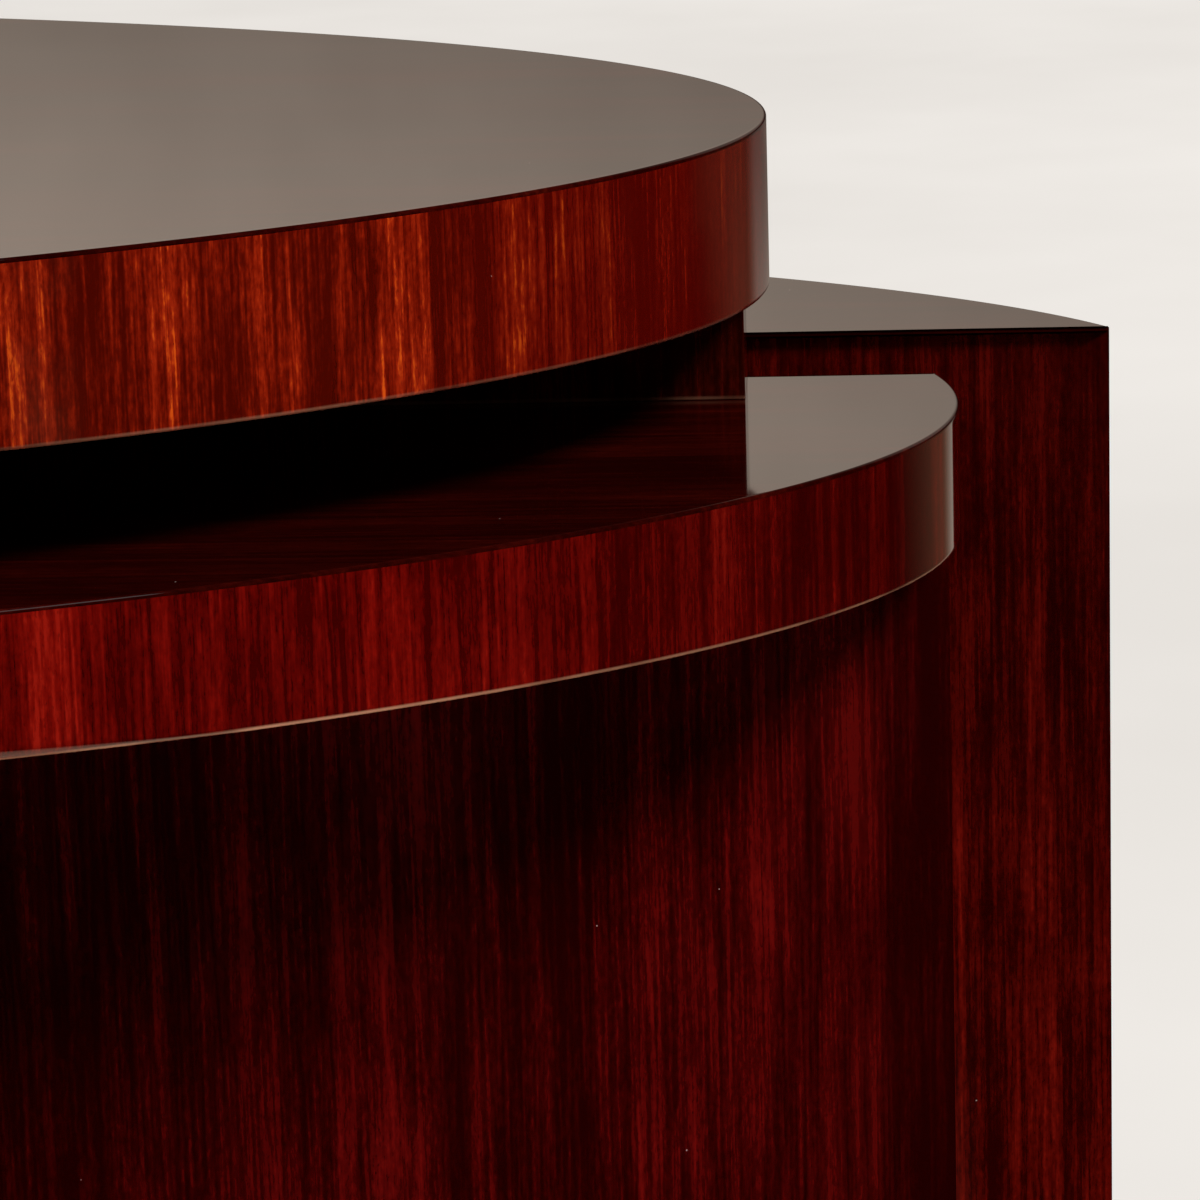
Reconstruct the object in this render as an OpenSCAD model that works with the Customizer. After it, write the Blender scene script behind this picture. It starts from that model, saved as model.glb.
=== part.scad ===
// Cocktail table in veneered box construction. An oval top rides on a flat-fronted riser. Under it
// stand a bow-fronted base with a shelf and a bow-backed rear body, held apart by recessed posts.
// +X runs along the length, +Y to the back, +Z up, and the origin is on the floor below the middle.

/* [Overall] */
// Height from the floor to the table top
total_h = 430; // [400:1:480]
// Height that the glides hold the body off the floor
foot_h = 6; // [4:1:12]

/* [Top] */
// Length of the oval top
top_l = 1364; // [1345:1:1400]
// Width of the oval top
top_w = 509; // [490:1:515]
// Thickness of the top
top_t = 38; // [34:0.5:50]
// Distance of the middle of the top in front of the shelf's back edge
top_forward = 29.5; // [26:0.1:36]

/* [Riser] */
// Height of the recess between the shelf and the top
recess_h = 27; // [24:0.5:50]
// Inset of the riser's flat front from each tip of the top
riser_end_inset = 6; // [5:0.5:40]
// Distance of the riser's front from the shelf's back edge
riser_d = 25; // [22:1:40]
// Inset of the riser's bowed back under the rim of the top
riser_inset = 6; // [4:0.5:20]

/* [Shelf] */
// Length of the shelf's straight back edge
shelf_l = 1438; // [1400:1:1440]
// Depth of the shelf from its back edge to its bow
shelf_d = 290.7; // [285:0.1:300]
// Thickness of the shelf
shelf_t = 30.6; // [28:0.1:45]

/* [Front base] */
// Length of the base along its flat back
base_l = 1443; // [1400:1:1444]
// Depth of the base from its flat back to its bow
base_d = 185; // [170:1:210]
// Distance of the centre of the base's curve behind its flat back
base_back = 140; // [100:5:180]
// Distance of the base's flat back in front of the shelf's back edge
base_inset = 20; // [12:1:26]

/* [Rear body] */
// Width of the gap between the shelf and the rear body
gap_d = 50; // [40:1:60]
// Length of the rear body along its flat front
rear_l = 1521.4; // [1480:0.1:1560]
// Depth of the rear body from its flat front to its bow
rear_d = 200; // [190:1:215]
// Distance of the centre of the back's curve in front of its flat front
rear_forward = 52.9; // [40:0.1:70]

/* [Boards] */
// Thickness of the face veneer
veneer_t = 1; // [0.6:0.1:1.5]
// Thickness of the body panels, formers and rims
board_t = 18; // [15:1:19]
// Thickness of the upper panels of the top and the shelf
panel_t = 12; // [9:1:15]
// Thickness of the bent plywood shells
shell_t = 12; // [9:1:15]
// Thickness of the lower skin of the top
top_skin_t = 9; // [6:1:10]
// Thickness of the lower skin of the shelf
shelf_skin_t = 6; // [4:1:8]
// Spacing of the cross ribs in the top and the shelf
rib_pitch = 140; // [130:5:150]
// Spacing of the uprights in the front base and the rear body
upright_pitch = 225; // [215:5:225]
// Width of the posts that hold the base and the rear body apart
post_w = 90; // [70:5:110]

/* [Hardware] */
// Diameter of the bolts
bolt_d = 8; // [6:1:10]
// Diameter of the dowels
dowel_d = 10; // [8:1:12]
// Diameter of the shelf screws
screw_d = 4; // [3:0.5:5]
// Diameter of the glides
glide_d = 30; // [24:1:34]

/* [Hidden] */
$fn = 48;
arc_steps = 120;
far = 2000;

// Overcut of holes and cuts, and the gap at the free end of a rib or an upright
over = 1;
end_gap = 1;

// Heights of the main faces
top_bottom = total_h - top_t;
shelf_top = top_bottom - recess_h;
shelf_bottom = shelf_top - shelf_t;
// The top of the rear body lies level with the shelf
rear_top_z = shelf_top;

// Depths are measured from the shelf's back edge
plane_y = (shelf_d - gap_d - rear_d) / 2;

riser_l = top_l - 2 * riser_end_inset;

// Plan curves as [half length at the flat side, reach from it, distance of the curve's centre from
// it towards the reach, 1 for a curve to the back or -1 for one to the front, place of the flat side]
shelf_curve = [shelf_l / 2, shelf_d, top_forward, -1, 0];
base_curve = [base_l / 2, base_d, -base_back, -1, -base_inset];
rear_curve = [rear_l / 2, rear_d, -rear_forward, 1, gap_d];
riser_curve = [riser_l / 2, top_w / 2 - top_forward - riser_inset, -top_forward, 1, 0];

// Levels inside the top and the shelf
top_core_z = top_bottom + veneer_t + top_skin_t;
top_panel_z = total_h - veneer_t - panel_t;
shelf_core_z = shelf_bottom + shelf_skin_t;
shelf_panel_z = shelf_top - veneer_t - panel_t;
rear_panel_top = rear_top_z - veneer_t - board_t;

// Lines of the ribs, measured from the shelf's back edge
top_rib_front = 110;
top_rib_back = 20;
top_rib_y = [-top_rib_front, top_rib_back];
rib_w = 12;
rim_t = board_t;
end_bay = 100;
top_ribs = floor((top_l / 2 - end_bay) / rib_pitch);
shelf_bays = floor((shelf_l / 2 - end_bay) / rib_pitch);
base_uprights = floor((base_l / 2 - 2 * end_bay) / upright_pitch);
back_uprights = floor((rear_l / 2 - 2 * end_bay) / upright_pitch);

// Bolts that hold the top on the rear body
top_bolt_x = [-2.5 * rib_pitch, -0.5 * rib_pitch, 0.5 * rib_pitch, 2.5 * rib_pitch];
top_bolt_back = 60;
top_bolt_y = gap_d + top_bolt_back;
bolt_block_l = 100;
bolt_block_w = 60;
bolt_head_d = 2 * bolt_d;
bolt_head_h = 0.65 * bolt_d;
washer_d = 3 * bolt_d;
washer_t = 2;
insert_d = 1.5 * bolt_d;
insert_h = 14;

// Bolts that hold the base, the posts and the rear body together
body_bolt_x = [for (i = [-2.5 : 2.5]) i * upright_pitch];
batten_h = 40;
batten_d = 30;
bolt_stop = 4;
batten_y = -base_inset - veneer_t - board_t;
washer_y = gap_d + veneer_t + board_t;
glue_block = 20;

// Screws that hold the shelf to the base, and dowels under the riser
shelf_screw_x = [for (i = [-2, -1, 1, 2]) i * rib_pitch];
shelf_screw_front = 150;
shelf_screw_back = 85;
screw_bite = 10;
screw_head_d = 2 * screw_d;
screw_head_h = 3;
dowel_pitch = 250;
dowel_h = 24;

// Glides, set in from the ends and the bows of the rear body and the base
rear_glide_end = 118;
rear_glide_bow = 108;
rear_glide_plane = 42;
rear_glide_x = 220;
base_glide_end = 201.5;
base_glide_bow = 75;
base_glide_plane = 50;
base_glide_x = 200;
glide_at = [for (s = [-1, 1]) each [
    [s * (rear_l / 2 - rear_glide_end), gap_d + rear_glide_plane],
    [s * rear_glide_x, gap_d + rear_d - rear_glide_bow],
    [s * (base_l / 2 - base_glide_end), -base_inset - base_glide_plane],
    [s * base_glide_x, base_glide_bow - base_inset - base_d]
]];
nail_d = 3;
nail_h = 16;
nail_head = 2;

// Colours of the bare model
rosewood = [0.30, 0.05, 0.03];
dark_rosewood = [0.20, 0.04, 0.03];
plywood = [0.78, 0.62, 0.42];
beech = [0.80, 0.60, 0.40];
steel = [0.62, 0.63, 0.65];
brass = [0.80, 0.63, 0.28];
nylon = [0.90, 0.89, 0.85];

// Half lengths of a plan curve's ellipse, drawn in by an inset
function half_w(c) = c[1] - c[2];
function half_l(c) = c[0] / sqrt(1 - pow(c[2] / half_w(c), 2));
// Reach of a plan curve from its flat side, at a place along the length
function reach(c, x, inset) = c[2] + (half_w(c) - inset) * sqrt(1 - pow(x / (half_l(c) - inset), 2));

// A full oval slab, placed from the shelf's back edge
module oval(a, b, cy, z0, z1) {
    outline = [for (i = [0 : arc_steps - 1]) let(t = i * 360 / arc_steps) [a * cos(t), cy + b * sin(t)]];
    translate([0, plane_y, z0]) linear_extrude(z1 - z0) polygon(outline);
}

// A block between two distances behind the shelf's back edge, over the whole length
module behind(y0, y1, z0, z1) {
    translate([-far / 2, plane_y + y0, z0]) cube([far, y1 - y0, z1 - z0]);
}

// The slab inside a plan curve, starting a given distance from its flat side
module bow(c, z0, z1, inset = 0, start = 0) {
    intersection() {
        oval(half_l(c) - inset, half_w(c) - inset, c[4] + c[3] * c[2], z0, z1);
        if (c[3] > 0) behind(c[4] + start, far, z0 - over, z1 + over);
        else behind(-far, c[4] - start, z0 - over, z1 + over);
    }
}

// The part of that slab within a thickness of its starting plane
module flat_side(c, z0, z1, inset, thickness, start = 0) {
    intersection() {
        bow(c, z0, z1, inset, start);
        if (c[3] > 0) behind(-far, c[4] + start + thickness, z0 - over, z1 + over);
        else behind(c[4] - start - thickness, far, z0 - over, z1 + over);
    }
}

// The wall between two insets of a plan curve
module bow_wall(c, z0, z1, inset, thickness, start = 0) {
    difference() {
        bow(c, z0, z1, inset, start);
        bow(c, z0 - over, z1 + over, inset + thickness, -far / 4);
    }
}

module top_oval(z0, z1, inset = 0) {
    oval(top_l / 2 - inset, top_w / 2 - inset, -top_forward, z0, z1);
}

module top_ring(z0, z1, inset, thickness) {
    difference() {
        top_oval(z0, z1, inset);
        top_oval(z0 - over, z1 + over, inset + thickness);
    }
}

// A block given by its middle in plan, its size and its levels
module block(x, y, size, z0, z1) {
    translate([x - size[0] / 2, plane_y + y - size[1] / 2, z0]) cube([size[0], size[1], z1 - z0]);
}

// An upright pin given by its place in plan and its levels
module pin(x, y, d, z0, z1) {
    translate([x, plane_y + y, z0]) cylinder(d = d, h = z1 - z0);
}

// A pin that lies along the depth, from y0 to y1
module cross_pin(x, z, d, y0, y1) {
    translate([x, plane_y + y0, z]) rotate([-90, 0, 0]) cylinder(d = d, h = y1 - y0);
}

module at_top_bolts() {
    for (x = top_bolt_x) translate([x, 0, 0]) children();
}

module at_shelf_screws() {
    for (x = shelf_screw_x, y = [-shelf_screw_front, -shelf_screw_back]) translate([x, y, 0]) children();
}

module at_body_bolts() {
    for (x = body_bolt_x, z = [foot_h + board_t + batten_h / 2, shelf_bottom - board_t - batten_h / 2])
        translate([x, 0, z]) children();
}

module at_body_posts() {
    for (x = body_bolt_x) translate([x, 0, 0]) children();
}

module at_dowels() {
    for (i = [-2 : 2]) translate([i * dowel_pitch, 0, 0]) children();
}

module at_glides() {
    for (p = glide_at) translate([p[0], p[1], 0]) children();
}

module top_bolt_holes() {
    at_top_bolts() pin(0, top_bolt_y, bolt_d, rear_panel_top - over, top_core_z + insert_h);
}

module dowel_holes() {
    at_dowels() pin(0, -riser_d / 2, dowel_d, shelf_top - dowel_h / 2, shelf_top + dowel_h / 2);
}

module shelf_screw_holes() {
    at_shelf_screws() pin(0, 0, screw_d, shelf_bottom - board_t - over, shelf_core_z + screw_bite);
}

module glide_nail_holes() {
    at_glides() pin(0, 0, nail_d, foot_h - nail_head, foot_h - nail_head + nail_h);
}

module body_bolt_holes() {
    at_body_bolts() cross_pin(0, 0, bolt_d, batten_y - batten_d + bolt_stop, washer_y + over);
}

// Top
module top_veneer() {
    color(rosewood) top_oval(total_h - veneer_t, total_h);
}

module top_edge_veneer() {
    color(rosewood) top_ring(top_bottom, total_h - veneer_t, 0, veneer_t);
}

module top_panel() {
    color(plywood) top_oval(top_panel_z, total_h - veneer_t, veneer_t);
}

module top_rim() {
    color(plywood) top_ring(top_core_z, top_panel_z, veneer_t, rim_t);
}

// Two ribs run along the top and stop just short of the rim
module top_long_ribs() {
    inner = [top_l / 2 - veneer_t - rim_t, top_w / 2 - veneer_t - rim_t];
    color(beech) for (y = top_rib_y) {
        outer_y = abs(y + top_forward) + rib_w / 2;
        half = inner[0] * sqrt(1 - pow(outer_y / inner[1], 2)) - end_gap;
        block(0, y, [2 * half, rib_w], top_core_z, top_panel_z);
    }
}

// The cross ribs fill the bays between the long ribs, and run on to the rim at both sides
module top_cross_ribs() {
    inner = [top_l / 2 - veneer_t - rim_t, top_w / 2 - veneer_t - rim_t];
    color(beech) for (i = [-top_ribs : top_ribs]) {
        x = i * rib_pitch;
        edge = inner[1] * sqrt(1 - pow((abs(x) + rib_w / 2) / inner[0], 2)) - end_gap;
        ends = [-top_forward - edge, top_rib_y[0] - rib_w / 2, top_rib_y[0] + rib_w / 2,
                top_rib_y[1] - rib_w / 2, top_rib_y[1] + rib_w / 2, -top_forward + edge];
        for (k = [0, 2, 4])
            block(x, (ends[k] + ends[k + 1]) / 2, [rib_w, ends[k + 1] - ends[k]], top_core_z, top_panel_z);
    }
}

module top_bolt_blocks() {
    color(beech) difference() {
        at_top_bolts() block(0, top_bolt_y, [bolt_block_l, bolt_block_w], top_core_z, top_panel_z);
        at_top_bolts() pin(0, top_bolt_y, insert_d, top_core_z - over, top_core_z + insert_h);
    }
}

module top_underside() {
    color(plywood) difference() {
        top_oval(top_bottom + veneer_t, top_core_z, veneer_t);
        top_bolt_holes();
    }
}

module top_underside_veneer() {
    color(dark_rosewood) difference() {
        top_oval(top_bottom, top_bottom + veneer_t, veneer_t);
        top_bolt_holes();
    }
}

module top_inserts() {
    color(brass) difference() {
        at_top_bolts() pin(0, top_bolt_y, insert_d, top_core_z, top_core_z + insert_h);
        at_top_bolts() pin(0, top_bolt_y, bolt_d, top_core_z - over, top_core_z + insert_h + over);
    }
}

// Riser
module riser_rail() {
    color(beech) difference() {
        block(0, (veneer_t - riser_d) / 2, [riser_l - 2 * veneer_t, riser_d - veneer_t], shelf_top, top_bottom);
        dowel_holes();
    }
}

module riser_veneer() {
    color(dark_rosewood) difference() {
        block(0, -riser_d / 2, [riser_l, riser_d], shelf_top, top_bottom);
        block(0, (veneer_t - riser_d) / 2 + over, [riser_l - 2 * veneer_t, riser_d - veneer_t + 2 * over],
              shelf_top - over, top_bottom + over);
    }
}

module riser_back() {
    color(plywood) bow_wall(riser_curve, rear_top_z, top_bottom, veneer_t, rim_t);
}

module riser_back_veneer() {
    color(dark_rosewood) bow_wall(riser_curve, rear_top_z, top_bottom, 0, veneer_t);
}

module riser_blocks() {
    color(beech) difference() {
        at_top_bolts() block(0, top_bolt_y, [bolt_block_l, bolt_block_w], rear_top_z, top_bottom);
        top_bolt_holes();
    }
}

module riser_dowels() {
    color(beech) dowel_holes();
}

// Shelf
module shelf_veneer() {
    color(rosewood) difference() {
        bow(shelf_curve, shelf_top - veneer_t, shelf_top);
        dowel_holes();
    }
}

module shelf_edge_veneer() {
    color(rosewood) bow_wall(shelf_curve, shelf_bottom, shelf_top - veneer_t, 0, veneer_t, veneer_t);
}

module shelf_back_veneer() {
    color(rosewood) flat_side(shelf_curve, shelf_bottom, shelf_top - veneer_t, 0, veneer_t);
}

module shelf_panel() {
    color(plywood) difference() {
        bow(shelf_curve, shelf_panel_z, shelf_top - veneer_t, veneer_t, veneer_t);
        dowel_holes();
    }
}

module shelf_rim() {
    color(plywood) bow_wall(shelf_curve, shelf_core_z, shelf_panel_z, veneer_t, rim_t, veneer_t);
}

module shelf_back_rail() {
    half = half_l(shelf_curve) - veneer_t - rim_t;
    inner_b = half_w(shelf_curve) - veneer_t - rim_t;
    rail_half = half * sqrt(1 - pow(top_forward / inner_b, 2)) - end_gap;
    color(beech) block(0, -veneer_t - board_t / 2, [2 * rail_half, board_t], shelf_core_z, shelf_panel_z);
}

module shelf_ribs() {
    start = veneer_t + board_t;
    color(beech) difference() {
        for (i = [-shelf_bays : shelf_bays]) {
            x = i * rib_pitch;
            end = reach(shelf_curve, abs(x) + board_t / 2, veneer_t + rim_t) - end_gap;
            block(x, -(start + end) / 2, [board_t, end - start], shelf_core_z, shelf_panel_z);
        }
        shelf_screw_holes();
    }
}

module shelf_underside() {
    color(plywood) difference() {
        bow(shelf_curve, shelf_bottom, shelf_core_z, veneer_t, veneer_t);
        shelf_screw_holes();
    }
}

// Front base
module front_veneer() {
    color(rosewood) bow_wall(base_curve, foot_h, shelf_bottom, 0, veneer_t, veneer_t);
}

module front_back_veneer() {
    color(rosewood) difference() {
        flat_side(base_curve, foot_h, shelf_bottom, 0, veneer_t);
        body_bolt_holes();
    }
}

module front_shell() {
    color(plywood) bow_wall(base_curve, foot_h, shelf_bottom, veneer_t, shell_t, veneer_t + board_t);
}

module front_back_panel() {
    color(plywood) difference() {
        flat_side(base_curve, foot_h, shelf_bottom, veneer_t, board_t, veneer_t);
        body_bolt_holes();
    }
}

// A D-shaped board between the bent shell and the back panel of the base
module front_former(z) {
    color(plywood) bow(base_curve, z, z + board_t, veneer_t + shell_t, veneer_t + board_t);
}

module front_top_former() {
    difference() {
        front_former(shelf_bottom - board_t);
        shelf_screw_holes();
    }
}

module front_middle_former() {
    front_former((foot_h + shelf_bottom - board_t) / 2);
}

module front_bottom() {
    difference() {
        front_former(foot_h);
        glide_nail_holes();
    }
}

// Uprights in two tiers, above and below the middle former
module front_uprights() {
    middle = (foot_h + shelf_bottom - board_t) / 2;
    color(plywood) difference() {
        for (i = [-base_uprights : base_uprights]) {
            x = i * upright_pitch;
            end = reach(base_curve, abs(x) + board_t / 2, veneer_t + shell_t) - end_gap;
            y = (batten_y - base_inset - end) / 2;
            d = batten_y + base_inset + end;
            block(x, y, [board_t, d], foot_h + board_t, middle);
            block(x, y, [board_t, d], middle + board_t, shelf_bottom - board_t);
        }
        for (z = [foot_h + board_t, shelf_bottom - board_t - batten_h])
            behind(batten_y - batten_d, far, z - over / 2, z + batten_h + over / 2);
    }
}

// Battens along the back panel, which take the body bolts
module front_battens() {
    half = half_l(base_curve) - veneer_t - shell_t;
    inner_b = half_w(base_curve) - veneer_t - shell_t;
    batten_half = half * sqrt(1 - pow((base_back + veneer_t + board_t + batten_d) / inner_b, 2)) - end_gap;
    color(beech) difference() {
        for (z = [foot_h + board_t, shelf_bottom - board_t - batten_h])
            block(0, batten_y - batten_d / 2, [2 * batten_half, batten_d], z, z + batten_h);
        body_bolt_holes();
    }
}

// Posts in the gap between the base and the rear body, with the outer two faced with veneer
module spine_posts() {
    color(beech) difference() {
        at_body_posts() block(0, (gap_d - base_inset) / 2, [post_w, gap_d + base_inset], foot_h, shelf_bottom);
        body_bolt_holes();
    }
}

module spine_veneer() {
    out = body_bolt_x[len(body_bolt_x) - 1] + (post_w + veneer_t) / 2;
    color(dark_rosewood) for (s = [-1, 1])
        block(s * out, (gap_d - base_inset) / 2, [veneer_t, gap_d + base_inset], foot_h, shelf_bottom);
}

// Rear body
module rear_front_veneer() {
    color(rosewood) difference() {
        flat_side(rear_curve, foot_h, rear_top_z - veneer_t, 0, veneer_t);
        body_bolt_holes();
    }
}

module rear_back_veneer() {
    color(rosewood) bow_wall(rear_curve, foot_h, rear_top_z - veneer_t, 0, veneer_t, veneer_t);
}

module rear_panel() {
    color(plywood) difference() {
        flat_side(rear_curve, foot_h, rear_panel_top, veneer_t, board_t, veneer_t);
        body_bolt_holes();
    }
}

module rear_shell() {
    color(plywood) bow_wall(rear_curve, foot_h, rear_panel_top, veneer_t, shell_t, veneer_t + board_t);
}

module rear_top() {
    color(plywood) difference() {
        bow(rear_curve, rear_panel_top, rear_top_z - veneer_t, veneer_t, veneer_t);
        top_bolt_holes();
    }
}

module rear_top_veneer() {
    color(rosewood) difference() {
        bow(rear_curve, rear_top_z - veneer_t, rear_top_z);
        top_bolt_holes();
    }
}

// A D-shaped board between the rear panel and the bent shell
module rear_former(z) {
    color(plywood) bow(rear_curve, z, z + board_t, veneer_t + shell_t, veneer_t + board_t);
}

module rear_middle_former() {
    rear_former((foot_h + rear_panel_top - board_t) / 2);
}

module rear_bottom() {
    difference() {
        rear_former(foot_h);
        glide_nail_holes();
    }
}

module rear_uprights() {
    start = veneer_t + board_t;
    middle = (foot_h + rear_panel_top - board_t) / 2;
    color(plywood) for (i = [-back_uprights : back_uprights]) {
        x = i * upright_pitch;
        end = reach(rear_curve, abs(x) + board_t / 2, veneer_t + shell_t) - end_gap;
        block(x, gap_d + (start + end) / 2, [board_t, end - start], foot_h + board_t, middle);
        block(x, gap_d + (start + end) / 2, [board_t, end - start], middle + board_t, rear_panel_top);
    }
}

// Blocks glued in the corner between the rear panel and the rear top
module rear_glue_blocks() {
    color(beech) for (x = body_bolt_x)
        block(x, washer_y + glue_block / 2, [bolt_block_l, glue_block],
              rear_panel_top - glue_block, rear_panel_top);
}

// Fasteners
module top_bolts() {
    head_top = rear_panel_top - washer_t;
    color(steel) at_top_bolts() {
        pin(0, top_bolt_y, bolt_d, head_top, top_core_z + insert_h);
        pin(0, top_bolt_y, bolt_head_d, head_top - bolt_head_h, head_top);
    }
}

module top_washers() {
    color(steel) difference() {
        at_top_bolts() pin(0, top_bolt_y, washer_d, rear_panel_top - washer_t, rear_panel_top);
        at_top_bolts() pin(0, top_bolt_y, bolt_d, rear_panel_top - washer_t - over, rear_panel_top + over);
    }
}

module body_bolts() {
    head_y = washer_y + washer_t;
    color(steel) at_body_bolts() {
        cross_pin(0, 0, bolt_d, batten_y - batten_d + bolt_stop, head_y);
        cross_pin(0, 0, bolt_head_d, head_y, head_y + bolt_head_h);
    }
}

module body_washers() {
    color(steel) difference() {
        at_body_bolts() cross_pin(0, 0, washer_d, washer_y, washer_y + washer_t);
        at_body_bolts() cross_pin(0, 0, bolt_d, washer_y - over, washer_y + washer_t + over);
    }
}

module shelf_screws() {
    head_top = shelf_bottom - board_t;
    color(steel) at_shelf_screws() {
        pin(0, 0, screw_d, head_top, shelf_core_z + screw_bite);
        pin(0, 0, screw_head_d, head_top - screw_head_h, head_top);
    }
}

module glides() {
    color(nylon) difference() {
        at_glides() pin(0, 0, glide_d, 0, foot_h);
        glide_nail_holes();
    }
}

module glide_nails() {
    color(steel) glide_nail_holes();
}

top_veneer();
top_edge_veneer();
top_panel();
top_rim();
top_long_ribs();
top_cross_ribs();
top_bolt_blocks();
top_underside();
top_underside_veneer();
top_inserts();
riser_rail();
riser_veneer();
riser_back();
riser_back_veneer();
riser_blocks();
riser_dowels();
shelf_veneer();
shelf_edge_veneer();
shelf_back_veneer();
shelf_panel();
shelf_rim();
shelf_back_rail();
shelf_ribs();
shelf_underside();
front_veneer();
front_back_veneer();
front_shell();
front_back_panel();
front_top_former();
front_middle_former();
front_bottom();
front_uprights();
front_battens();
spine_posts();
spine_veneer();
rear_front_veneer();
rear_back_veneer();
rear_panel();
rear_shell();
rear_top();
rear_top_veneer();
rear_middle_former();
rear_bottom();
rear_uprights();
rear_glue_blocks();
top_bolts();
top_washers();
body_bolts();
body_washers();
shelf_screws();
glides();
glide_nails();
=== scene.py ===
from math import asin, cos, pi, radians, sin, sqrt

import bpy
from mathutils import Matrix, Vector


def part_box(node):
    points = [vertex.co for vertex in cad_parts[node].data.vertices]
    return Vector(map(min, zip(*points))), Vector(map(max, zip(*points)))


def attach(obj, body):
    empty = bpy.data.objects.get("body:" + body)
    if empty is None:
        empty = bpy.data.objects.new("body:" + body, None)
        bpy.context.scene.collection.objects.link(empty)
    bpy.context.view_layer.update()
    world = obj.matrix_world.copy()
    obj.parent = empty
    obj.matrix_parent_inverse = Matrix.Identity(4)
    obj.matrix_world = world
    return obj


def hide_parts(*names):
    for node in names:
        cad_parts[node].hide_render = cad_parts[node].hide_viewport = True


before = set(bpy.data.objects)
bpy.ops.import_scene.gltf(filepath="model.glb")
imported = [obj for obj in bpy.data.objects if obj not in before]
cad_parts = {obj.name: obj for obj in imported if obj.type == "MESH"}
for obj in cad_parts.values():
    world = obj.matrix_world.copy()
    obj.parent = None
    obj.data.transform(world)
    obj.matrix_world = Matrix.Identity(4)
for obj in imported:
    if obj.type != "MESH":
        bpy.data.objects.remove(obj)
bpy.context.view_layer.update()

# Camera
# The photographer stands in front of the right end and looks down on it through a long lens, with
# the camera tipped a little to the right. Distances are taken from the shelf's straight back edge.
shelf_back_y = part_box("shelf_veneer")[1].y
focal_in_widths = 5238.0 / 1200
film_width = 36
eye = Vector((0.7033, shelf_back_y - 1.1715, 0.6124))
turn, tilt, roll = radians(3.0516), radians(14.324), radians(1.6215)
level_ahead = Vector((-sin(turn), cos(turn), 0))
level_right = Vector((cos(turn), sin(turn), 0))
ahead = level_ahead * cos(tilt) - Vector((0, 0, sin(tilt)))
down = -level_ahead * sin(tilt) - Vector((0, 0, cos(tilt)))
right = level_right * cos(roll) + down * sin(roll)
up = level_right * sin(roll) - down * cos(roll)
camera = bpy.data.objects.new("camera", bpy.data.cameras.new("camera"))
bpy.context.collection.objects.link(camera)
camera.matrix_world = Matrix((right, up, -ahead)).transposed().to_4x4()
camera.matrix_world.translation = eye
camera.data.sensor_width = film_width
camera.data.lens = film_width * focal_in_widths
camera.data.clip_start = 0.05
camera.data.clip_end = 60
bpy.context.scene.camera = camera
bpy.context.scene.view_settings.view_transform = "Standard"


# Rosewood veneer under lacquer
# Straight-grained rosewood is laid upright on the edges and faces, and lengthways on the level tops.
# It is stained deep red, its pores are filled, and it is polished to a mirror gloss.
class Wire:
    """A socket or a number in a material, with the operators that add Math nodes."""

    def __init__(self, tree, socket):
        self.tree, self.socket = tree, socket

    def math(self, operation, *others):
        values = dict(enumerate((self, *others)))
        return Paint.node_in(self.tree, "ShaderNodeMath", {"operation": operation}, values)

    def __add__(self, other):
        return self.math("ADD", other)

    def __sub__(self, other):
        return self.math("SUBTRACT", other)

    def __mul__(self, other):
        return self.math("MULTIPLY", other)

    def __truediv__(self, other):
        return self.math("DIVIDE", other)

    def __pow__(self, other):
        return self.math("POWER", other)

    def __abs__(self):
        return self.math("ABSOLUTE")

    def __rsub__(self, other):
        return self * -1 + other

    __radd__ = __add__


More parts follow.
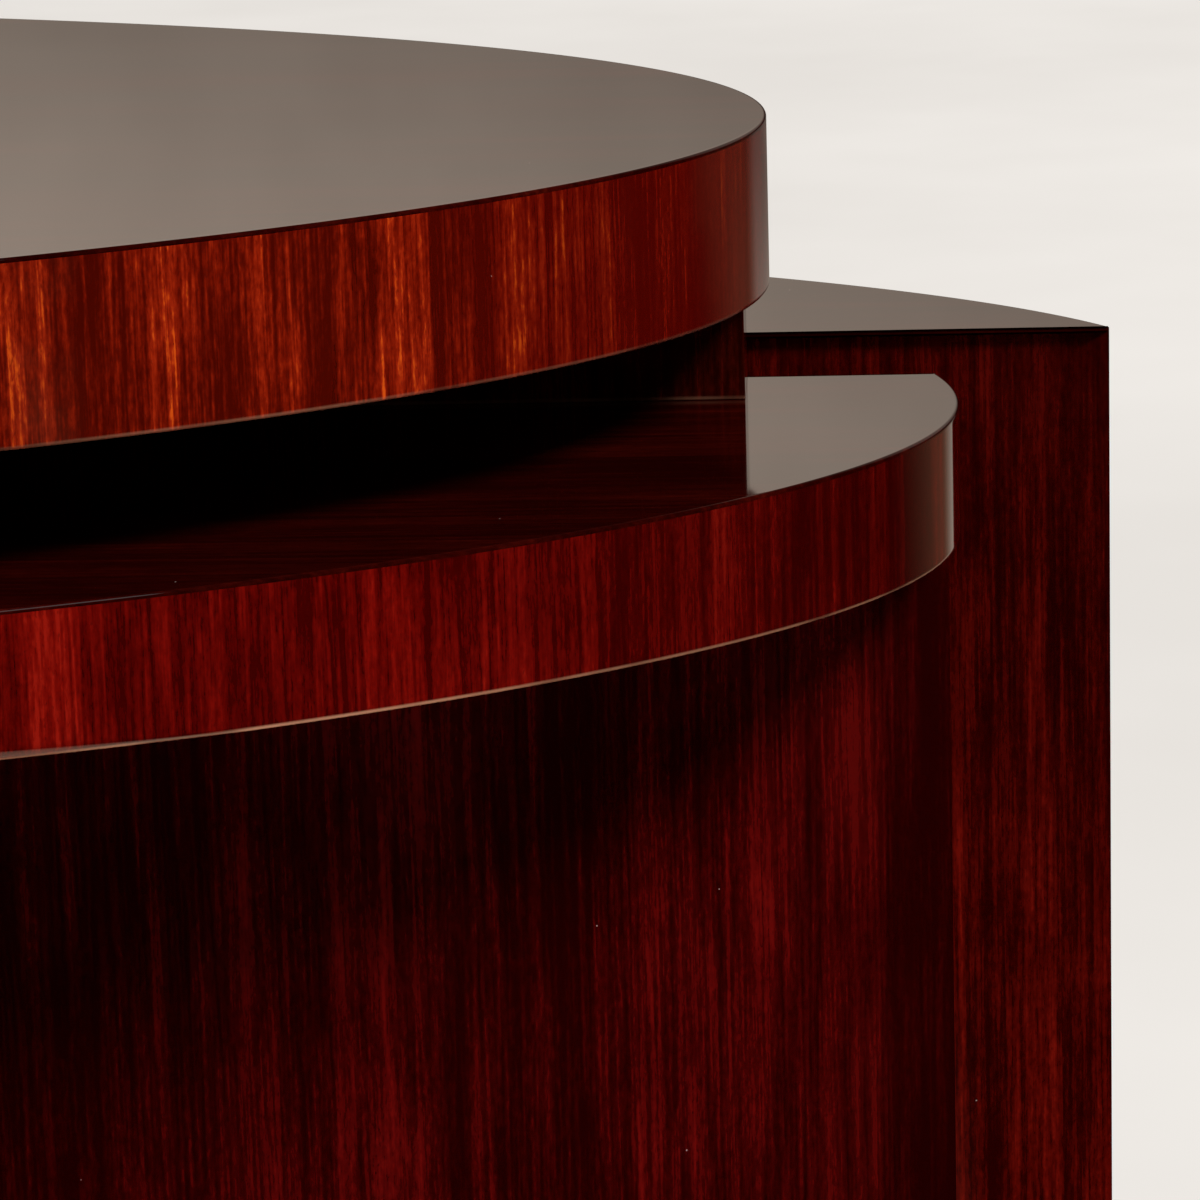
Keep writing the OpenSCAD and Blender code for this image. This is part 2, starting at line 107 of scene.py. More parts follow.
class Paint:
    """A material that is put together node by node."""

    def __init__(self, owner):
        self.material = owner
        owner.use_nodes = True
        self.tree = owner.node_tree
        self.tree.nodes.clear()

    @staticmethod
    def node_in(tree, kind, settings=None, inputs=None, output=0):
        """Adds a node with its settings, and links or sets its inputs. Gives one of its outputs."""
        made = tree.nodes.new(kind)
        for key, value in (settings or {}).items():
            if key == "stops":
                ramp = made.color_ramp
                while len(ramp.elements) < len(value):
                    ramp.elements.new(0.5)
                for element, (place, colour) in zip(ramp.elements, value):
                    element.position, element.color = place, (*colour, 1)
            else:
                setattr(made, key, value)
        for key, value in (inputs or {}).items():
            if isinstance(value, Wire):
                tree.links.new(value.socket, made.inputs[key])
            else:
                made.inputs[key].default_value = value
        return Wire(tree, made.outputs[output]) if len(made.outputs) else None

    def node(self, kind, settings=None, inputs=None, output=0):
        return self.node_in(self.tree, kind, settings, inputs, output)

    def place(self, stretch=(1, 1, 1), offset=(0, 0, 0)):
        """The place on the object, in metres, squeezed along each axis and shifted."""
        here = self.node("ShaderNodeTexCoord", output="Object")
        moved = {"operation": "MULTIPLY_ADD"}
        return self.node("ShaderNodeVectorMath", moved, {0: here, 1: stretch, 2: offset})

    def part(self, vector, axis):
        return self.node("ShaderNodeSeparateXYZ", inputs={0: vector}, output=axis)

    def noise(self, where, scale, detail=2.0, roughness=0.5, distortion=0.0):
        values = {"Vector": where, "Scale": scale, "Detail": detail, "Roughness": roughness,
                  "Distortion": distortion}
        return self.node("ShaderNodeTexNoise", inputs=values, output="Fac")

    def ramp(self, amount, stops):
        return self.node("ShaderNodeValToRGB", {"stops": stops}, {0: amount}, "Color")

    def between(self, amount, low, high, to_low=0.0, to_high=1.0):
        values = {"Value": amount, "From Min": low, "From Max": high, "To Min": to_low, "To Max": to_high}
        return self.node("ShaderNodeMapRange", {"interpolation_type": "SMOOTHSTEP"}, values)

    def mix(self, amount, first, second):
        first, second = (c if isinstance(c, Wire) else (*c, 1) for c in (first, second))
        values = {0: amount, 6: first, 7: second}
        return self.node("ShaderNodeMix", {"data_type": "RGBA"}, values, 2)

    def bump(self, height, strength, distance):
        values = {"Height": height, "Strength": strength, "Distance": distance}
        return self.node("ShaderNodeBump", inputs=values)

    def finish(self, **inputs):
        names = {key: key.replace("_", " ").title().replace("Ior", "IOR") for key in inputs}
        shader = self.node("ShaderNodeBsdfPrincipled", inputs={names[k]: v for k, v in inputs.items()})
        self.node("ShaderNodeOutputMaterial", inputs={"Surface": shader})
        return self.material


tone_stops = (0.19, 0.37, 0.50, 0.63, 0.81, 1.0)
middle_tone = 0.48
# Painted shade is laid over the wood in this near black unless another colour is given.
shade_black = (0.008, 0.0001, 0.0001)
dull_brown = (0.070, 0.014, 0.007)
# The painted highlight along lower arrises has this pale colour.
arris_highlight_colour = (0.70, 0.32, 0.19)
dust = (0.50, 0.40, 0.36)
lacquer_ior = 1.5


def rosewood(name, along, tones, broad, fine, seat=0.0, sapwood=0.0, foot=None, arris_highlight=0.0, shade=None,
             shade_colour=shade_black):
    """Polished rosewood. along is the grain's direction and tones its colours from dark to light.
    broad and fine are the bands and streaks in a metre, seat picks another part of the log, sapwood
    is the share of dull bands, and arris_highlight the strength of a painted highlight along the arris at the
    height foot.
    shade gives the share of painted shade, in a darker colour, at a distance from the middle and a height."""
    paint = Paint(bpy.data.materials.new(name))
    shift = (seat, seat * 0.7, seat * 1.3)
    long_way = paint.place({"z": (1, 1, 0.03), "x": (0.02, 1, 1)}[along], shift)
    middle_way = paint.place({"z": (1, 1, 0.15), "x": (0.15, 1, 1)}[along], shift)
    short_way = paint.place({"z": (1, 1, 0.30), "x": (0.2, 1, 1)}[along], shift)
    here = paint.place(offset=shift)
    clouds = paint.noise(here, 24, 3.0)
    figures = [(paint.noise(long_way, broad, 1.5, 0.5, 0.15), 1.2),
               (paint.noise(long_way, fine, 2.0, 0.6, 0.1), 1.1),
               (paint.noise(long_way, fine * 3.4, 2.0, 0.6), 1.2),
               (paint.noise(short_way, 1100, 2.0, 0.65), 0.8),
               (clouds, 0.6),
               (paint.noise(middle_way, broad * 1.6, 4.0, 0.6, 0.4), 0.8)]
    tone = sum(((figure - 0.5) * share for figure, share in figures), middle_tone)
    colour = paint.ramp(tone, list(zip(tone_stops, tones)))
    pores = paint.between(paint.noise(short_way, 2300, 1.0), 0.62, 0.74)
    colour = paint.mix(pores * 0.45, colour, tones[0])
    if sapwood:
        dull = paint.between(paint.noise(long_way, 34, 1.5), 0.54, 0.68) * paint.between(clouds, 0.35, 0.6)
        colour = paint.mix(dull * sapwood, colour, dull_brown)
    # Painted highlight: a pale broken line along the lower arris, where the rounded corner would mirror the
    # bright floor.
    if foot is not None:
        height = paint.part(paint.place(), "Z")
        highlight_mask = paint.between(height, foot + 0.0005, foot + 0.0012, 1.0, 0.0)
        highlight_mask = highlight_mask * paint.between(paint.noise(here, 45, 2.0), 0.35, 0.6, 0.35, 1.0)
        colour = paint.mix(highlight_mask * arris_highlight, colour, arris_highlight_colour)
    # Painted shade: a darker colour laid over the wood by its place, towards the ends and by height.
    if shade is not None:
        across, height = (paint.part(paint.place(), axis) for axis in "XZ")
        colour = paint.mix(shade(paint, abs(across), height), colour, shade_colour)
    speck = paint.node("ShaderNodeTexVoronoi", inputs={"Vector": here, "Scale": 80.0}, output="Distance")
    colour = paint.mix(paint.between(speck, 0.010, 0.018, 0.55, 0.0), colour, dust)
    gloss = paint.between(clouds, 0.3, 0.7, 0.035, 0.06)
    polish = paint.bump(paint.noise(here, 9, 1.0), 0.25, 0.0004)
    return paint.finish(base_color=colour, roughness=gloss, ior=lacquer_ior, normal=polish)


top_tones = [(0.009, 0.0003, 0.0001), (0.012, 0.0004, 0.0002), (0.015, 0.0005, 0.0002),
             (0.018, 0.0007, 0.0003), (0.023, 0.0010, 0.0004), (0.032, 0.0018, 0.0007)]
top_wood = rosewood("top_rosewood", "x", top_tones, 40, 260, seat=1.7)


# Top face
# One sheet of veneer covers the oval top. Its rim is slightly rounded and has the same dark
# colour as the face.
def oval(box, steps=720):
    """Points and outward normals round the oval that fills a node's box."""
    low, high = box
    a, b = (high.x - low.x) / 2, (high.y - low.y) / 2
    centre = (low + high) / 2
    loop = []
    for i in range(steps):
        t = 2 * pi * i / steps
        normal = Vector((cos(t) / a, sin(t) / b)).normalized()
        loop.append((Vector((centre.x + a * cos(t), centre.y + b * sin(t))), normal))
    return loop


def quarter(radius, steps=8):
    """Offsets along a quarter round, from the upright side to the level face."""
    turns = [k * pi / 2 / steps for k in range(steps + 1)]
    return [(radius * (1 - cos(t)), radius * (1 - sin(t))) for t in turns]


crease = radians(50)


def join(name, verts, faces, material):
    """A smooth mesh with crisp corners, which rides on the table and takes its finish from a slot."""
    mesh = bpy.data.meshes.new(name)
    mesh.from_pydata([tuple(v) for v in verts], [], faces)
    mesh.validate()
    mesh.shade_smooth()
    mesh.set_sharp_from_angle(angle=crease)
    mesh.materials.append(material)
    piece = bpy.data.objects.new(name, mesh)
    bpy.context.collection.objects.link(piece)
    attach(piece, "root")
    return piece


hair = 0.0002
round_rim = 0.0007
margin = 0.004


def sheet(name, loop, z0, z1, rim, material):
    """A level sheet of veneer, with its upper rim rounded."""
    profile = [(margin, z0), (0, z0)] + [(d, z1 - e) for d, e in quarter(rim)] + [(rim + hair, z1)]
    n, verts, faces = len(loop), [], []
    for inset, z in profile:
        verts += [(p.x - inset * out.x, p.y - inset * out.y, z) for p, out in loop]
    for k in range(len(profile) - 1):
        for i in range(n):
            j = (i + 1) % n
            faces.append((k * n + i, k * n + j, (k + 1) * n + j, (k + 1) * n + i))
    faces += [tuple(reversed(range(n))), tuple((len(profile) - 1) * n + i for i in range(n))]
    return join(name, verts, faces, material)


top_low, top_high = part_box("top_veneer")
top_face = sheet("top_face", oval((top_low, top_high)), top_low.z, top_high.z, round_rim,
                 top_wood)
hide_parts("top_veneer")


# Edge of the top
# A band of upright veneer is bent round the rim of the top. Its lower corner is rubbed round, more so
# along the front and the back than at the ends.
skin = 0.001


def wall(name, path, z0, z1, foot, material, lip=None, closed=False):
    """An upright band of veneer on a path. foot gives the radius of its lower outer corner at a place,
    and lip the depth and height of a step inwards that the corner needs."""
    verts, faces = [], []
    if lip:
        depth, height = lip
        inner = [(skin, z0 + height), (depth, z0 + height), (depth, z0)]
    else:
        inner = [(skin, z0)]
    for p, out in path:
        r = foot(p)
        curve = [(e, z0 + d) for d, e in quarter(r)]
        profile = [(skin, z1)] + inner + [(r + hair / 2, z0)] + curve + [(0, z0 + r + hair), (0, z1)]
        verts += [(p.x - inset * out.x, p.y - inset * out.y, z) for inset, z in profile]
    n, m = len(path), len(profile)
    for i in range(n if closed else n - 1):
        j = (i + 1) % n
        for k in range(m):
            above = (k + 1) % m
            faces.append((i * m + k, j * m + k, j * m + above, i * m + above))
    if not closed:
        faces += [tuple(range(m)), tuple((n - 1) * m + k for k in reversed(range(m)))]
    return join(name, verts, faces, material)


def worn_round(radius, loss, start, run):
    """A corner's radius at a place. It starts to fall at a distance from the middle."""
    return lambda place: radius - loss * min(1, max(0, (abs(place.x) - start) / run))


def top_shade(paint, x, z):
    """Painted shade: the edge of the top gets darker towards the ends; the wood there is also redder."""
    return paint.between(x, 0.60, 0.65, 0.0, 0.6) + paint.between(x, 0.65, 0.68, 0.0, 0.25)


edge_low, edge_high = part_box("top_edge_veneer")
orange_tones = [(0.042, 0.0013, 0.0001), (0.066, 0.0023, 0.0003), (0.100, 0.0036, 0.0005),
                (0.142, 0.0062, 0.0010), (0.225, 0.0125, 0.0022), (0.440, 0.0520, 0.0040)]
# The top's edge gets a painted highlight along its lower arris, and painted shade in deep red towards the
# ends.
red_shade = (0.040, 0.0003, 0.0002)
top_edge_wood = rosewood("top_edge_rosewood", "z", orange_tones, 80, 330, seat=3.1, sapwood=0.55,
                         foot=edge_low.z, arris_highlight=0.2, shade=top_shade, shade_colour=red_shade)
top_lip = 0.003
top_edge = wall("top_edge", oval((edge_low, edge_high)), edge_low.z, edge_high.z,
                worn_round(0.0022, 0.0013, 0.49, 0.07), top_edge_wood,
                lip=(top_lip, skin), closed=True)
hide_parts("top_edge_veneer")


# Underside of the top
# A balancing sheet of plainer, darker veneer is laid on the underside, so that the top stays flat.
dark_tones = [(0.006, 0.0004, 0.0002), (0.010, 0.0006, 0.0003), (0.014, 0.0009, 0.0004),
              (0.019, 0.0013, 0.0005), (0.027, 0.0020, 0.0008), (0.040, 0.0030, 0.0012)]
dark_wood = rosewood("dark_rosewood", "x", dark_tones, 60, 300, seat=5.3)
under_low, under_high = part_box("top_underside_veneer")
play = 0.0001
under_loop = [(p - out * (top_lip + play), out) for p, out in oval((edge_low, edge_high))]
top_underface = sheet("top_underface", under_loop, under_low.z, under_high.z, hair, dark_wood)
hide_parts("top_underside_veneer")


# Riser
# A flat rail with crisp corners carries the top's front, and a bent back closes it behind. Both are
# faced with dark upright veneer.
def corner(middle, radius, start, sweep, steps=6):
    """Points and normals round a small upright corner."""
    turns = [start + sweep * k / steps for k in range(steps + 1)]
    normals = [Vector((cos(t), sin(t))) for t in turns]
    return [(middle + radius * normal, normal) for normal in normals]


def line(first, last, normal, steps):
    """Points along a straight face, with one close to each end."""
    run = (last - first).length
    places = [0, hair / run] + [k / steps for k in range(1, steps)] + [1 - hair / run, 1]
    return [(first.lerp(last, s), normal) for s in places]


riser_low, riser_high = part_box("riser_veneer")
crisp = 0.0004
to_left, to_front, to_right, to_back = Vector((-1, 0)), Vector((0, -1)), Vector((1, 0)), Vector((0, 1))
left_x, right_x, front_y, back_y = riser_low.x, riser_high.x, riser_low.y, riser_high.y
path = line(Vector((left_x, back_y)), Vector((left_x, front_y + crisp)), to_left, 3)
path += corner(Vector((left_x + crisp, front_y + crisp)), crisp, pi, pi / 2)
path += line(Vector((left_x + crisp, front_y)), Vector((right_x - crisp, front_y)), to_front, 40)
path += corner(Vector((right_x - crisp, front_y + crisp)), crisp, 1.5 * pi, pi / 2)
path += line(Vector((right_x, front_y + crisp)), Vector((right_x, back_y)), to_right, 3)
riser_tones = [(0.011, 0.0004, 0.0001), (0.017, 0.0008, 0.0002), (0.024, 0.0012, 0.0003),
               (0.033, 0.0016, 0.0005), (0.048, 0.0024, 0.0009), (0.070, 0.0036, 0.0015)]
# The riser's lower arris gets a faint painted highlight.
riser_wood = rosewood("riser_rosewood", "z", riser_tones, 60, 300, seat=7.9, foot=riser_low.z,
                      arris_highlight=0.10)


def even(radius):
    """The same radius for a corner all along."""
    return lambda place: radius


riser_face = wall("riser_face", path, riser_low.z, riser_high.z, even(0.0003),
                  riser_wood)
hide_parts("riser_veneer")


def bow(half, reach, centre, plane, side, start=0.0, steps=360):
    """Points and normals round a bow. centre is the curve's distance from the plane, towards the bow."""
    b = reach - centre
    a = half / sqrt(1 - (centre / b) ** 2)
    t0 = asin((start - centre) / b)
    loop = []
    for i in range(steps + 1):
        t = t0 + (pi - 2 * t0) * i / steps
        place = Vector((a * cos(t), plane + side * (centre + b * sin(t))))
        loop.append((place, Vector((cos(t) / a, side * sin(t) / b)).normalized()))
    return loop


top_centre_y = (top_low.y + top_high.y) / 2
back_low, back_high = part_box("riser_back_veneer")
path = bow(back_high.x, back_high.y - back_low.y, top_centre_y - back_low.y, back_low.y, 1)
riser_back = wall("riser_bent_back", path, back_low.z, back_high.z, even(0.0003),
                  riser_wood)
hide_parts("riser_back_veneer")


# Shelf
# The shelf has a bow front and a straight back. Its top is veneered lengthways and its edges upright.
# Its lower front corner is worn into a broad round, which dies away towards the ends.
def shelf_shade(paint, x, z):
    """Painted shade: the edge of the shelf gets darker towards the ends."""
    return paint.between(x, 0.60, 0.68, 0.0, 0.55) + paint.between(x, 0.68, 0.71, 0.0, 0.1)


shelf_low, shelf_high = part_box("shelf_veneer")
shelf_centre = shelf_back_y - top_centre_y
shelf_b = shelf_back_y - shelf_low.y - shelf_centre
shelf_half = shelf_high.x * sqrt(1 - (shelf_centre / shelf_b) ** 2)
band_low, band_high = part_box("shelf_edge_veneer")
red_tones = [(0.032, 0.0002, 0.0001), (0.050, 0.0004, 0.0002), (0.072, 0.0009, 0.0003),
             (0.096, 0.0015, 0.0006), (0.130, 0.0024, 0.0010), (0.205, 0.0060, 0.0025)]
# The shelf's edge gets a strong painted highlight along its lower arris, and painted shade towards the ends.
shelf_edge_wood = rosewood("shelf_edge_rosewood", "z", red_tones, 60, 300, seat=11.3,
                           foot=band_low.z, arris_highlight=0.9, shade=shelf_shade)


def shelf_bow(start=0.0):
    """The bow of the shelf, from a distance in front of its straight back."""
    return bow(shelf_half, shelf_back_y - shelf_low.y, shelf_centre, shelf_back_y, -1, start)


def with_chord(path, normal):
    """A bow's path, with points on the straight side that closes it."""
    return path + line(path[-1][0], path[0][0], normal, 2)[1:-1]


shelf_face = sheet("shelf_face", with_chord(shelf_bow(), to_back), shelf_low.z, shelf_high.z, round_rim,
                   top_wood)
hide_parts("shelf_veneer")
shelf_lip = 0.008
under_low, under_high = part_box("shelf_underside")
shelf_edge = wall("shelf_edge", shelf_bow(skin), band_low.z, band_high.z,
                  worn_round(0.0056, 0.0043, 0.49, 0.09), shelf_edge_wood,
                  lip=(shelf_lip, under_high.z - under_low.z))
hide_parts("shelf_edge_veneer")
path = line(Vector((-shelf_half, shelf_back_y)), Vector((shelf_half, shelf_back_y)), to_back, 30)
shelf_back = wall("shelf_back", path, band_low.z, band_high.z, even(0.0004),
                  shelf_edge_wood)
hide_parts("shelf_back_veneer")


# Underside of the shelf
# A thin plywood skin, stained dark like the recess, closes the shelf's frame from below.
path = [(p - out * (shelf_lip + play) if out != to_back else p, out)
        for p, out in with_chord(shelf_bow(shelf_lip + skin), to_back)]
shelf_underface = sheet("shelf_underface", path, under_low.z, under_high.z, hair, dark_wood)
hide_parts("shelf_underside")


# Base
# Plywood is bent into a bow and veneered upright, and a flat panel closes it behind. It stands under
# the shelf, set back from its rim.
def base_shade(paint, x, z):
    """Painted shade: the base gets darker towards the ends."""
    return paint.between(x, 0.66, 0.71, 0.0, 0.5)


base_low, base_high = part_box("front_veneer")
base_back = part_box("front_back_veneer")[1]
base_centre = -0.140
deep_tones = [(0.011, 0.0001, 0.0001), (0.018, 0.0002, 0.0001), (0.027, 0.0003, 0.0003),
              (0.040, 0.0006, 0.0005), (0.062, 0.0011, 0.0009), (0.098, 0.0022, 0.0016)]
base_wood = rosewood("base_rosewood", "z", deep_tones, 44, 260, seat=13.7, shade=base_shade)
path = bow(base_back.x, base_back.y - base_low.y, base_centre, base_back.y, -1, skin)
base_front = wall("base_front", path, base_low.z, base_high.z, even(0.0005),
                  base_wood)
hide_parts("front_veneer")


def dress(material, *nodes):
    """Gives a finish to pieces that keep their plain shape."""
    for node in nodes:
        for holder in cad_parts[node].material_slots:
            holder.material = material


dress(base_wood, "front_back_veneer")


# Rear body
# A tall flat-fronted box with a bowed back stands behind a narrow gap. The front, back and top are
# veneered, and the front corners are left crisp.
def case_shade(paint, x, z):
    """Painted shade: the rear body gets darker upwards, most just under its top, and a little at the ends."""
    upper = paint.between(z, 0.12, 0.30, 0.0, 0.45) + paint.between(z, 0.32, 0.36, 0.0, 0.2)
    return upper + paint.between(x, 0.72, 0.76, 0.0, 0.15)


case_low, case_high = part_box("rear_top_veneer")
face_low, face_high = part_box("rear_front_veneer")
case_centre = -0.0529
case_tones = [(0.020, 0.0002, 0.0001), (0.036, 0.0006, 0.0002), (0.055, 0.0011, 0.0004),
              (0.080, 0.0018, 0.0006), (0.122, 0.0034, 0.0013), (0.195, 0.0062, 0.0026)]
case_wood = rosewood("case_rosewood", "z", case_tones, 60, 300, seat=17.9, shade=case_shade)


def case_bow(start=0.0):
    """The bow of the rear body, from a distance behind its flat front."""
    return bow(case_high.x, case_high.y - face_low.y, case_centre, face_low.y, 1, start)


case_top = sheet("case_top", with_chord(case_bow(), to_front), case_low.z, case_high.z, crisp,
                 top_wood)
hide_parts("rear_top_veneer")
path = line(Vector((face_low.x, face_low.y)), Vector((face_high.x, face_low.y)), to_front, 60)
case_front = wall("case_front", path, face_low.z, face_high.z, even(0.0005),
                  case_wood)
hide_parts("rear_front_veneer")
skin_low, skin_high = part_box("rear_back_veneer")
case_back = wall("case_back", case_bow(skin), skin_low.z, skin_high.z, even(0.0005),
                 case_wood)
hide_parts("rear_back_veneer")


# Posts between the base and the rear body
# Six beech posts hold the two units apart. The outer two are faced with dark veneer.
spine_wood = rosewood("spine_rosewood", "z", dark_tones, 60, 300, seat=19.1)
dress(spine_wood, "spine_veneer")


# Solid beech parts
# Planed beech, with short darker flecks along the grain, is used where screws and bolts need hold.
beech_tones = [(0.30, (0.40, 0.24, 0.125)), (0.50, (0.52, 0.34, 0.19)), (0.72, (0.62, 0.43, 0.26))]
beech_fleck = (0.28, 0.15, 0.075)


def beech(name, stretch):
    """Planed beech. stretch is small along the grain."""
    paint = Paint(bpy.data.materials.new(name))
    grain = paint.place(stretch)
    rings = paint.noise(grain, 180, 3.0, 0.55, 0.3)
    flecks = paint.between(paint.noise(grain, 900, 1.0), 0.60, 0.72)
    colour = paint.mix(flecks * 0.5, paint.ramp(rings, beech_tones), beech_fleck)
    rough = paint.between(rings, 0.3, 0.7, 0.48, 0.62)
    relief = paint.bump(rings - flecks * 0.4, 0.3, 0.0004)
    return paint.finish(base_color=colour, roughness=rough, normal=relief)


dress(beech("upright_beech", (1, 1, 0.12)), "spine_posts", "riser_rail", "riser_blocks", "riser_dowels")
dress(beech("long_beech", (0.12, 1, 1)), "front_battens", "shelf_back_rail", "top_long_ribs",
      "rear_glue_blocks", "top_bolt_blocks")
dress(beech("cross_beech", (1, 0.12, 1)), "top_cross_ribs", "shelf_ribs")


# Plywood boards and shells
# Birch plywood is used flat for the boards and bent for the shells. Its plies show as fine stripes
# where a board is cut.
birch_tones = [(0.30, (0.44, 0.29, 0.15)), (0.50, (0.56, 0.40, 0.23)), (0.70, (0.66, 0.50, 0.31))]
glue_line = (0.24, 0.14, 0.07)
ply_wave_number = 4200


def plywood(name, stretch, layered):
    """Birch plywood. stretch is small along the grain, and layered shows the plies of a level board."""
    paint = Paint(bpy.data.materials.new(name))
    figure = paint.noise(paint.place(stretch), 60, 3.0, 0.6, 0.8)
    fibres = paint.noise(paint.place(stretch), 700, 2.0, 0.6)
    colour = paint.ramp(figure * 0.7 + fibres * 0.3, birch_tones)
    if layered:
        facing = paint.part(paint.node("ShaderNodeNewGeometry", output="Normal"), "Z")
        cut = paint.between(abs(facing), 0.4, 0.6, 1.0, 0.0)
        plies = (paint.part(paint.place(), "Z") * ply_wave_number).math("SINE")
        colour = paint.mix(paint.between(plies * cut, 0.1, 0.6), colour, glue_line)
    rough = paint.between(fibres, 0.3, 0.7, 0.5, 0.68)
    return paint.finish(base_color=colour, roughness=rough, normal=paint.bump(fibres, 0.25, 0.0003))


dress(plywood("board_plywood", (0.1, 1, 1), True), "top_panel", "top_underside", "shelf_panel",
      "front_top_former", "front_middle_former", "front_bottom", "rear_top", "rear_middle_former",
      "rear_bottom")
dress(plywood("bent_plywood", (1, 1, 0.1), False), "top_rim", "shelf_rim", "front_shell", "front_back_panel",
      "rear_panel", "rear_shell", "riser_back", "front_uprights", "rear_uprights")


# Bolts, washers, screws, nails and inserts
# The fasteners are zinc-plated steel and the threaded inserts are brass. Both have a faint turned
# grain and a dull bloom.
bright_zinc, dull_zinc = (0.60, 0.61, 0.63), (0.42, 0.43, 0.45)
bright_brass, dull_brass = (0.80, 0.60, 0.26), (0.55, 0.38, 0.15)


def metal(name, bright, dull, smooth, rough):
    """Turned metal, with its two colours and the range of its roughness."""
    paint = Paint(bpy.data.materials.new(name))
    lines = paint.noise(paint.place((1, 1, 12)), 300, 2.0)
    bloom = paint.noise(paint.place(), 220, 3.0, 0.6)
    tone = paint.mix(paint.between(bloom, 0.4, 0.7), bright, dull)
    grain = paint.between(lines * 0.6 + bloom * 0.4, 0.35, 0.65, smooth, rough)
    relief = paint.bump(lines, 0.2, 0.0001)
    return paint.finish(base_color=tone, metallic=1.0, roughness=grain, normal=relief)


dress(metal("zinc_plate", bright_zinc, dull_zinc, 0.25, 0.42), "top_bolts", "top_washers", "body_bolts",
      "body_washers", "shelf_screws", "glide_nails")
dress(metal("turned_brass", bright_brass, dull_brass, 0.22, 0.40), "top_inserts")


# Glides
# Discs of pale moulded nylon are nailed under both units and scuffed by the floor.
paint = Paint(bpy.data.materials.new("moulded_nylon"))
scuff = paint.noise(paint.place(), 500, 4.0, 0.7)
nylon_tones = [(0.35, (0.62, 0.60, 0.54)), (0.55, (0.80, 0.79, 0.74))]
colour = paint.ramp(scuff, nylon_tones)
dress(paint.finish(base_color=colour, roughness=paint.between(scuff, 0.3, 0.7, 0.35, 0.6),
                   normal=paint.bump(scuff, 0.3, 0.0002)), "glides")


# Floor
# A pale studio floor. Polished surfaces mirror it behind the table and close to its front, and find
# the room in front of it unlit.
def ray_shares(paint):
    """The rays that see the background plainly, and those that mirror it."""
    plain, glossy, through = (paint.node("ShaderNodeLightPath", output=f"Is {kind} Ray")
                              for kind in ("Camera", "Glossy", "Transmission"))
    return plain + through, glossy


amber = (0.92, 0.765, 0.63)
brown = (0.95, 0.52, 0.30)
floor_tones = [(0.36, (0.88, 0.84, 0.795)), (0.64, (0.96, 0.92, 0.875))]
floor_matt, floor_bounce, floor_unlit = (0.80, 0.77, 0.73), (0.75, 0.72, 0.68), (0.05, 0.05, 0.05)
paint = Paint(bpy.data.materials.new("pale_floor"))
place = paint.place()
along = paint.part(place, "Y")
across = abs(paint.part(place, "X"))
beside = (across - 0.65).math("MAXIMUM", 0.0)
straight = along / ((beside * beside + along * along) ** 0.5 + 0.01)
clear = paint.between(straight, 0.80, 0.90)
behind = clear * 0.80 + paint.between(straight, 0.42, 0.80) * 0.35
behind = behind * paint.between(along, 1.1, 2.5, 0.55, 0.14)
distance = ((across - 0.5).math("MAXIMUM", 0.0) ** 2 + along * along) ** 0.5
near = paint.between(distance, 0.40, 0.62, 1.0, 0.0) * paint.between(across, 0.66, 0.74, 1.0, 0.0)
in_front = paint.between(along, -0.02, 0.02, 1.0, 0.0)
reflected = paint.mix(clear.math("MAXIMUM", in_front * 0.5), brown, amber)
mirror_light = {"Color": reflected, "Strength": behind + in_front * near * 1.3}
mirror = paint.node("ShaderNodeEmission", inputs=mirror_light)
mottle = paint.ramp(paint.noise(place, 1.3, 4.0, 0.6), floor_tones)
glow_light = {"Color": mottle, "Strength": paint.between(along, 0.0, 2.5, 0.91, 1.05)}
glow = paint.node("ShaderNodeEmission", inputs=glow_light)
seen, glossy = ray_shares(paint)
bounce = paint.mix(paint.between(across, 0.75, 1.2, 0.5, 1.0), floor_unlit, floor_bounce)
matt = paint.node("ShaderNodeBsdfDiffuse", inputs={"Color": paint.mix(seen, bounce, floor_matt)})
lit = paint.node("ShaderNodeMixShader", inputs={0: seen * 0.8, 1: matt, 2: glow})
shown = paint.node("ShaderNodeMixShader", inputs={0: glossy, 1: lit, 2: mirror})
paint.node("ShaderNodeOutputMaterial", inputs={"Surface": shown})
half, sunk = 20, -0.0003
mesh = bpy.data.meshes.new("floor")
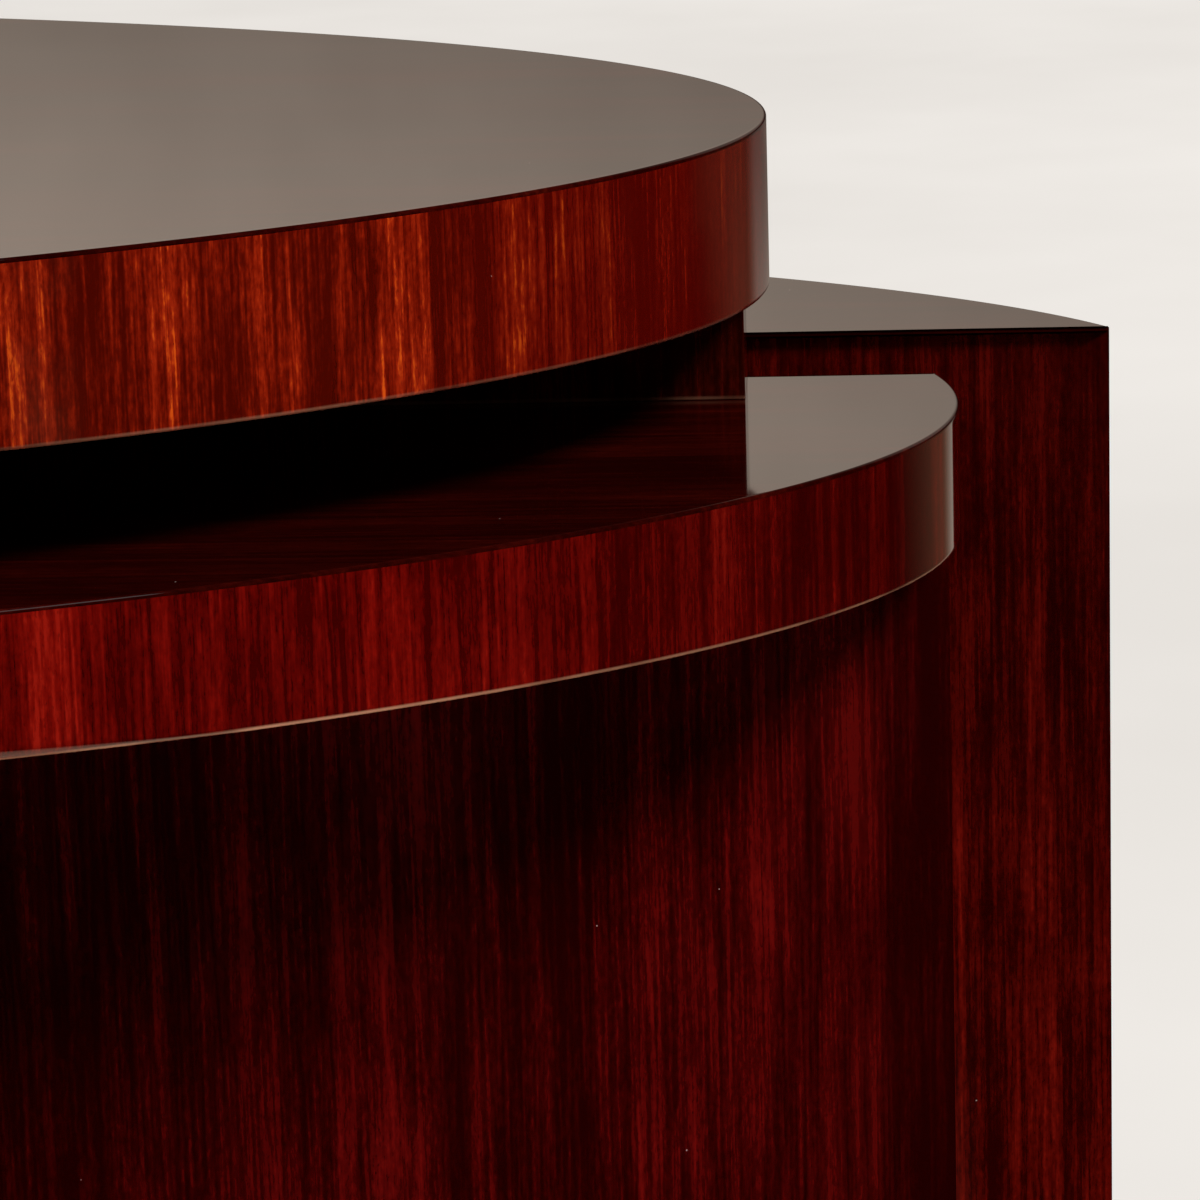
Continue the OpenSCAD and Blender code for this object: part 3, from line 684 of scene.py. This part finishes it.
mesh.from_pydata([(-half, -half, 0), (half, -half, 0), (half, half, 0), (-half, half, 0)], [], [(0, 1, 2, 3)])
mesh.materials.append(paint.material)
floor = bpy.data.objects.new("floor", mesh)
bpy.context.collection.objects.link(floor)
floor.location.z = sunk


# Room
# The backdrop is pale, slightly mottled and lit low down, and the rest of the room is dim.
pale = (0.88, 0.84, 0.79)
room = bpy.data.worlds.new("room")
bpy.context.scene.world = room
paint = Paint(room)
way = paint.node("ShaderNodeTexCoord", output="Generated")
x, y, z = (paint.part(way, axis) for axis in "XYZ")
level = (x * x + y * y) ** 0.5
backdrop = paint.between(y / (level + 0.001), 0.42, 0.80) * paint.between(z, 0.04, 0.30)
backdrop = backdrop * paint.between(z, 0.35, 0.80, 1.0, 0.10) * paint.between(x, -0.25, 0.25, 1.6, 0.4)
seen, glossy = ray_shares(paint)
glimmer = 0.06 + paint.between(x, 0.2, 0.9) * 0.30
drift = 0.86 + paint.noise(way, 34, 4.0, 0.6) * 0.28
strength = seen + glossy * backdrop * drift * 0.86 + (1 - seen - glossy) * glimmer
room_light = {"Color": paint.mix(glossy, pale, amber), "Strength": strength}
shine = paint.node("ShaderNodeBackground", inputs=room_light)
paint.node("ShaderNodeOutputWorld", inputs={"Surface": shine})


# Lamps
# A square lamp at the front right gives most of the light, and a large dim one lifts the shadows.
table_right = Vector((0.3, 0, 0.35))


def lamp(name, azimuth, height, distance, size, power, mirrored):
    """A soft square lamp that faces the table, azimuth turned from the front towards +X."""
    data = bpy.data.lights.new(name, "AREA")
    data.size, data.energy = size, power
    made = bpy.data.objects.new(name, data)
    bpy.context.collection.objects.link(made)
    az, el = radians(azimuth), radians(height)
    away = Vector((sin(az) * cos(el), -cos(az) * cos(el), sin(el)))
    made.location = table_right + distance * away
    made.rotation_euler = away.to_track_quat("Z", "Y").to_euler()
    made.visible_glossy = mirrored


lamp("side_lamp", azimuth=60, height=42.5, distance=3.0, size=0.7, power=120, mirrored=False)
lamp("front_lamp", azimuth=25, height=45, distance=3.2, size=2.0, power=12, mirrored=True)
